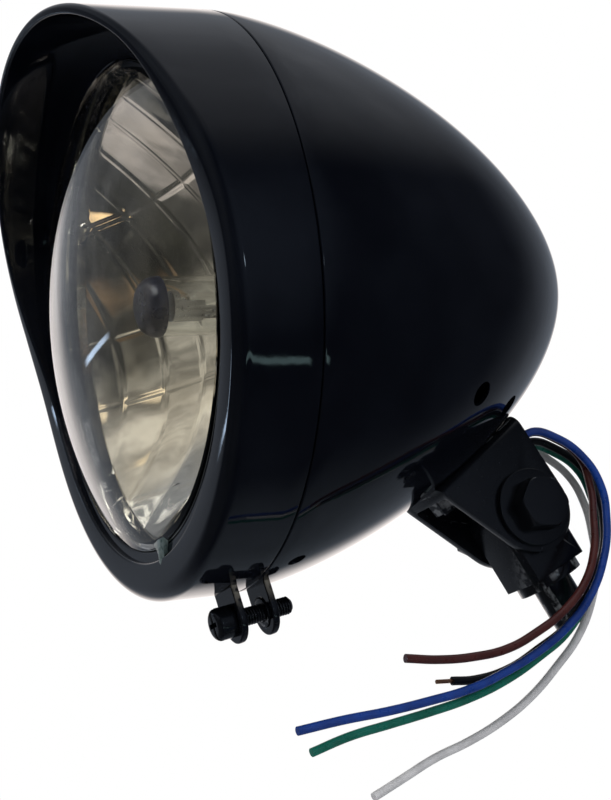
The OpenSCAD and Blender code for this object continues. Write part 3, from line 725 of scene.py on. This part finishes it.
def lensSection():
    form = lensForm
    radius, bulge, thick, steps = form["radius"], form["bulge"], form["thick"], form["steps"]
    curve = (radius ** 2 + bulge ** 2) / (2 * bulge)
    inner = curve - thick
    centre = form["edge"] - bulge + curve
    outTurns = [math.asin(radius / curve) * (1 - i / steps) for i in range(steps + 1)]
    inTurns = [math.asin((radius - thick) / inner) * i / steps for i in range(steps + 1)]
    face = [(centre - curve * math.cos(t), curve * math.sin(t)) for t in outTurns]
    back = [(centre - inner * math.cos(t), inner * math.sin(t)) for t in inTurns]
    front, rear = form["flangeFront"], form["flangeFront"] + form["flangeThick"]
    flange = [(rear, form["rim"]), (front, form["rim"]), (front, radius)]
    return flange + face + back + [(rear, radius - thick)]


def makeLens():
    mesh = meshOf("clear_lens", *turned(lensSection(), lensForm["around"]))
    placePiece("clear_lens", mesh, lensGlass, "lens", crease=25)


makeLens()
print("lens made")


# Reflector: a skin of mirror facets laid on the bowl, in columns and rows with raised joints. Each facet has
# a slight crown and a wave, and the joints grow faint toward the bottom.
mirrorForm = {"focal": 27.4, "vertex": 27.65, "radius": 65.6, "lift": 0.35, "skin": 0.3,
              "columns": (-59, -48, -37, -26, -13, 0, 13, 26, 37, 48, 59), "rows": (-44, -10.5, 10.5, 44),
              "ridge": 0.3, "ridgeHalf": 1.3, "faint": 0.8, "faintFrom": 4, "faintOver": 13, "crown": 0.3,
              "wave": 0.12, "waveX": 0.34, "waveZ": 0.13, "sway": 1.6, "swayZ": 0.11,
              "stepX": 1.1, "stepZ": 1.3, "perRidge": 4,
              "holes": (((0, 20, 0), 11.7), ((0, 15, -36), 6.3)), "cutLength": 60}


# Grid lines from edge to edge, close together beside each joint
def gridLines(joints, step):
    limit, half, fine = mirrorForm["radius"], mirrorForm["ridgeHalf"], mirrorForm["perRidge"]
    stops = [-limit, *joints, limit]
    lines = set()
    for low, high in zip(stops, stops[1:]):
        count = max(4, int((high - low) / step))
        lines.update(round(low + (high - low) * i / count, 3) for i in range(count + 1))
    for joint in joints:
        lines.update(round(joint + half * k / fine, 3) for k in range(-fine, fine + 1))
    return sorted(lines)


def mirrorDepth(x, z):
    form = mirrorForm
    bowl = form["vertex"] - (x * x + z * z) / (4 * form["focal"]) - form["lift"]
    near = min([abs(x - c) for c in form["columns"]] + [abs(z - r) for r in form["rows"]])
    ridge = form["ridge"] * (0.5 + 0.5 * math.cos(math.pi * min(1, near / form["ridgeHalf"])))
    ridge *= 1 - form["faint"] * min(1, max(0, (form["faintFrom"] - z) / form["faintOver"]))
    stops = [-form["radius"], *form["columns"], form["radius"]]
    crown = 0
    for low, high in zip(stops, stops[1:]):
        if low <= x <= high:
            crown = form["crown"] * (1 - (2 * (x - low) / (high - low) - 1) ** 2)
    sway = form["sway"] * math.sin(form["swayZ"] * z + 1)
    wave = form["wave"] * math.sin(form["waveX"] * x + sway) * math.cos(form["waveZ"] * z)
    return bowl - ridge - crown - wave


def makeMirror():
    form, limit = mirrorForm, mirrorForm["radius"]
    across, up = gridLines(form["columns"], form["stepX"]), gridLines(form["rows"], form["stepZ"])
    points = []
    for z in up:
        reach = math.sqrt(max(0, limit * limit - z * z))
        for x in across:
            x = max(-reach, min(reach, x))
            points.append(toRow(x, mirrorDepth(x, z), z))
    faces = lattice(len(up), len(across), closeRows=False, closeCount=False)
    obj = linked("mirror", meshOf("mirror", points, faces, join=1e-6, slivers=True))
    skin = obj.modifiers.new("skin", "SOLIDIFY")
    skin.thickness = form["skin"] * mm
    skin.offset = 0
    holes = [roundCutter(at, (0, 1, 0), radius, form["cutLength"]) for at, radius in form["holes"]]
    placePiece("mirror_facets", cut(applied(obj), holes), chrome, slot="reflector", crease=40)


# The plated wall of the reflector's channel, which shows as a bright line round the lens
channelForm = {"inside": 67.58, "outside": 67.84, "front": -21.4, "back": -18.55, "around": 192}


def makeChannel():
    form = channelForm
    half, middle = (form["outside"] - form["inside"]) / 2, (form["inside"] + form["outside"]) / 2
    turns = [math.pi * i / 6 for i in range(7)]
    nose = [(form["front"] + half - half * math.sin(t), middle - half * math.cos(t)) for t in turns]
    section = [(form["back"], form["inside"])] + nose + [(form["back"], form["outside"])]
    mesh = meshOf("plated_channel_wall", *turned(section, form["around"]))
    placePiece("plated_channel_wall", mesh, chrome, slot="reflector", crease=40)


# A run of dried sealant that hangs from the lens's edge over the lip, at the bottom
sealantForm = {"from": 66.4, "to": 73.6, "half": 3.9, "least": 0.05, "taper": 0.62, "high": 0.75,
               "face": -22.5, "recess": -21.55, "step": 70.6, "above": 0.02, "along": 28, "across": 14}
sealantLook = {"patches": (400, 4), "colours": ((0.05, 0.075, 0.075), (0.16, 0.2, 0.2)), "gloss": 500,
               "rough": (0.25, 0.5), "grain": (700, 3), "depth": 0.15, "strength": 0.5}


def makeSealant():
    form, long, wide = sealantForm, sealantForm["along"], sealantForm["across"]
    front, back = [], []
    for i in range(long + 1):
        share = i / long
        r = form["from"] + (form["to"] - form["from"]) * share
        uneven = 1 + 0.12 * math.sin(9 * share)
        half = form["half"] * (1 - share) ** form["taper"] * uneven + form["least"]
        seat = form["face"] if r > form["step"] else form["recess"]
        for k in range(wide + 1):
            side = 2 * k / wide - 1
            x = side * half - 0.8 + 0.7 * math.sin(4 * share)  # the run wanders to one side
            lumps = 0.55 + 0.45 * math.sin(2.8 * share + 1.9 * side + 0.6)
            swell = form["high"] * math.sqrt(1 - side ** 2) * lumps * (1 - share ** 4)
            down = -math.sqrt(r * r - x * x)
            front.append(toRow(x, form["face"] - form["above"] - swell, down))
            back.append(toRow(x, seat + form["above"], down))
    row, count = wide + 1, len(front)
    sheet = lattice(long + 1, row, closeRows=False, closeCount=False)
    faces = sheet + [(a + count, d + count, c + count, b + count) for a, b, c, d in sheet]
    rim = list(range(row)) + [i * row + wide for i in range(1, long + 1)]
    rim += [long * row + k for k in range(wide - 1, -1, -1)] + [i * row for i in range(long - 1, 0, -1)]
    faces += [(a, b, b + count, a + count) for a, b in zip(rim, rim[1:] + rim[:1])]
    mesh = meshOf("sealant_run", front + back, faces)
    placePiece("sealant_run", mesh, mottled("dried_sealant", sealantLook), slot="lens_gasket", crease=60)


makeMirror()
makeChannel()
makeSealant()
print("reflector made")


# Dark heat-proof coat over the main bulb's tip
coatForm = {"radius": 8.5, "tip": -17, "round": 5, "coat": 0.12, "clear": 0.01, "back": -11.2, "around": 96}
coatLook = {"patches": (300, 3), "colours": ((0.006, 0.009, 0.026), (0.012, 0.016, 0.036)), "gloss": 200,
            "rough": (0.25, 0.4), "grain": (900, 3), "depth": 0.02, "strength": 0.3}


def makeTipCoat():
    form = coatForm
    tip, bend, coat = form["tip"], form["round"], form["coat"]
    inside = form["radius"] + form["clear"]
    section = [(tip - coat, 0.0)] + arc(tip + bend, form["radius"] - bend, bend + coat, -90, 0)
    section += [(form["back"], form["radius"] + coat), (form["back"], inside)]
    section += arc(tip + bend, inside - bend, bend, 0, -90) + [(tip, 0.0)]
    mesh = meshOf("bulb_tip_coat", *turned(section, form["around"], closed=False))
    placePiece("bulb_tip_coat", mesh, mottled("bulb_tip_coat", coatLook), slot="bulb_glass", crease=40)


makeTipCoat()
print("bulb's tip made")


# Finishes of the CAD nodes that show as they are
finishes = {
    "reflector": chrome, "lens_gasket": blackRubber, "lens_clips": zinc, "bulb_glass": bulbGlass,
    "position_bulb": bulbGlass, "bulb_base": steel, "bulb_electrodes": steel, "bulb_terminals": tinned,
    "bulb_clip": steel, "dust_boot": blackRubber, "bulb_connector": blackPlastic,
    "position_holder": blackPlastic, "bracket_bolts": satinFine, "bracket_nuts": satinFine,
    "wire_grommet": blackRubber, "wire_sleeve": blackPlastic, "black_wire_core": copper,
}
for nodeName, finish in finishes.items():
    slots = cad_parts[nodeName].data.materials
    if len(slots) == 0:
        slots.append(finish)
    for index in range(len(slots)):
        slots[index] = finish
print("finishes set")


# Floor: "lift" is light that only the eye sees, which keeps it pale from every side
floorForm = {"z": -0.3, "half": 6.0, "colour": (0.84, 0.84, 0.86), "patches": (0.8, 0.8, 0.82), "rough": 0.7,
             "lift": (0.45, 0.45, 0.46)}


def makeFloor():
    form = floorForm
    half, z = form["half"], form["z"]
    mesh = bpy.data.meshes.new("floor")
    corners = [(-half, -half, z), (half, -half, z), (half, half, z), (-half, half, z)]
    mesh.from_pydata(corners, [], [(0, 1, 2, 3)])
    material, start = newMaterial("pale_floor")
    mesh.materials.append(principled(material, start, {
        "Base Color": start.noise(3, 2).blend(form["colour"], form["patches"]),
        "Roughness": form["rough"],
        "Emission Color": start.rays("Camera").blend((0, 0, 0), form["lift"]),
        "Emission Strength": 1.0}))
    obj = linked("floor", mesh)
    obj.visible_glossy = obj.visible_transmission = False


# The studio that reflections see: two domes with soft lights on them, one mirrored by paint and by the
# lens's face, one by the reflector behind the lens. Each light is centred at an azimuth and an elevation,
# full inside its first angle and gone outside its second one. A tube lamp is a level strip: its height and
# its half widths are shares of the dome's radius.
domes = {
    "room": {
        "radius": 3.0, "rays": ("glossy",), "mottle": 0.5, "least": 0.9, "dark": (0.03, 0.034, 0.045),
        "lights": {
            "side wall": {"at": (95, 5), "angles": (8, 45), "colour": (0.1, 0.12, 0.16)},
            "floor in front": {"at": (-8, -25), "angles": (18, 50), "colour": (0.05, 0.055, 0.06)},
            "ceiling": {"at": (180, 90), "angles": (28, 62), "colour": (0.4, 0.42, 0.46)},
            "far wall": {"at": (252, 5), "angles": (18, 68), "colour": (0.26, 0.29, 0.34)},
            "far floor": {"at": (235, -45), "angles": (8, 42), "colour": (0.12, 0.14, 0.165)},
            "wall in front": {"at": (3, 50), "angles": (12, 50), "colour": (0.17, 0.19, 0.22)},
            "white screen": {"at": (-106, 12), "angles": (18, 32), "flat": 0.7, "colour": (1.12, 1.04, 1.01)},
            "small lamp": {"at": (88, -4), "angles": (0.8, 2.5), "colour": (6.0, 7.5, 9.0)},
        },
        "tubes": [
            {"height": -0.588, "half": (0.008, 0.024), "at": (92, 0), "angles": (27, 33),
             "colour": (1.0, 1.5, 1.55)},
            {"height": 0.236, "half": (0.003, 0.009), "at": (-57, 0), "angles": (3.5, 8),
             "colour": (3.6, 4.6, 6.0)},
        ],
    },
    "front": {
        "radius": 2.9, "rays": ("transmission",), "mottle": 1.6, "least": 0.35, "dark": (0.06, 0.057, 0.048),
        "lights": {
            "beige wall": {"at": (-12, 22), "angles": (12, 36), "colour": (0.46, 0.42, 0.35)},
            "beige ceiling": {"at": (0, 62), "angles": (16, 42), "colour": (0.8, 0.72, 0.6)},
            "grey side": {"at": (-75, 40), "angles": (14, 44), "colour": (0.34, 0.34, 0.35)},
            "olive floor": {"at": (4, -26), "angles": (8, 27), "colour": (0.022, 0.021, 0.014)},
            "brown patch": {"at": (12, -8), "angles": (2, 9), "colour": (0.17, 0.11, 0.06)},
            "pink wall": {"at": (-56, -34), "angles": (9, 26), "colour": (0.6, 0.53, 0.49)},
            "high bulb": {"at": (4, 52), "angles": (1.6, 5.0), "colour": (3.6, 2.8, 1.8)},
            "middle bulb": {"at": (15, 30), "angles": (0.8, 3.2), "colour": (3.2, 2.6, 1.8)},
            "low bulb": {"at": (1, -30), "angles": (0.5, 1.8), "colour": (2.5, 1.7, 0.9)},
        },
        "tubes": [],
    },
}


# A light's share at each point of a dome; "flat" below 1 makes it taller, and 0 makes it an upright band
def glow(start, at, angles, flat):
    squashed = start.vector("MULTIPLY", {0: start.place(), 1: (1, 1, flat)})
    unit = start.vector("NORMALIZE", {0: squashed})
    near = start.vector("DOT_PRODUCT", {0: unit, 1: facing(*at)}, out="Value")
    full, gone = (math.cos(math.radians(angle)) for angle in angles)
    return near.steps(gone, full)


def makeDome(name, dome):
    form = bmesh.new()
    bmesh.ops.create_uvsphere(form, u_segments=96, v_segments=48, radius=dome["radius"])
    mesh = toMesh(name + "_dome", form)
    mesh.shade_smooth()
    material, start = newMaterial(name + "_lights")
    darker = tuple(c * 0.7 for c in dome["dark"])
    colour = start.noise(1.2, 2).steps(0.3, 0.7).blend(dome["dark"], darker)
    for light in dome["lights"].values():
        share = glow(start, light["at"], light["angles"], light.get("flat", 1))
        colour = share.blend(colour, light["colour"])
    for tube in dome["tubes"]:
        away = abs(start.axis("Z") * (1 / dome["radius"]) - tube["height"])
        strip = away.steps(*tube["half"], 1.0, 0.0) * glow(start, tube["at"], tube["angles"], 0)
        colour = strip.blend(colour, tube["colour"])
    mottle = start.noise(dome["mottle"], 4, 0.6).steps(0.32, 0.66, dome["least"], 1.25)
    colour = start.vector("SCALE", {0: colour, "Scale": mottle})
    mesh.materials.append(principled(material, start, {
        "Base Color": (0, 0, 0), "Roughness": 1.0, "Specular IOR Level": 0.0,
        "Emission Color": colour, "Emission Strength": 1.0}))
    obj = linked(name + "_dome", mesh)
    for ray in ("camera", "diffuse", "glossy", "transmission", "shadow", "volume_scatter"):
        setattr(obj, "visible_" + ray, ray in dome["rays"])


# White light from all round: full for the eye, half for what it falls on
worldForm = {"colour": (1.0, 1.0, 1.0), "strength": 0.5, "seen": 0.5}


def makeWorld(form):
    world = bpy.data.worlds.new("studio")
    scene.world = world
    start = emptied(world)
    strength = start.rays("Camera") * form["seen"] + form["strength"]
    surface = start.node("ShaderNodeBackground", sockets={"Color": form["colour"], "Strength": strength})
    surface.node("ShaderNodeOutputWorld", sockets={"Surface": surface})


lamps = {
    "key": {"at": (0.9, -0.9, 1.3), "size": 0.9, "power": 14, "colour": (1.0, 0.98, 0.96)},
    "fill": {"at": (1.4, 0.5, 0.2), "size": 0.5, "power": 3, "colour": (0.9, 0.95, 1.0)},
}


def makeLamp(name, lamp):
    data = bpy.data.lights.new(name, "AREA")
    data.shape = "SQUARE"
    data.size, data.energy, data.color = lamp["size"], lamp["power"], lamp["colour"]
    obj = linked(name, data)
    obj.visible_glossy = False
    obj.location = Vector(lamp["at"])
    obj.rotation_mode = "QUATERNION"
    obj.rotation_quaternion = (lampAt - Vector(lamp["at"])).to_track_quat("-Z", "Y")


makeFloor()
for domeName, domeLook in domes.items():
    makeDome(domeName, domeLook)
makeWorld(worldForm)
for lampName, lampValues in lamps.items():
    makeLamp(lampName, lampValues)
scene.view_settings.view_transform = "Standard"
print("studio made")
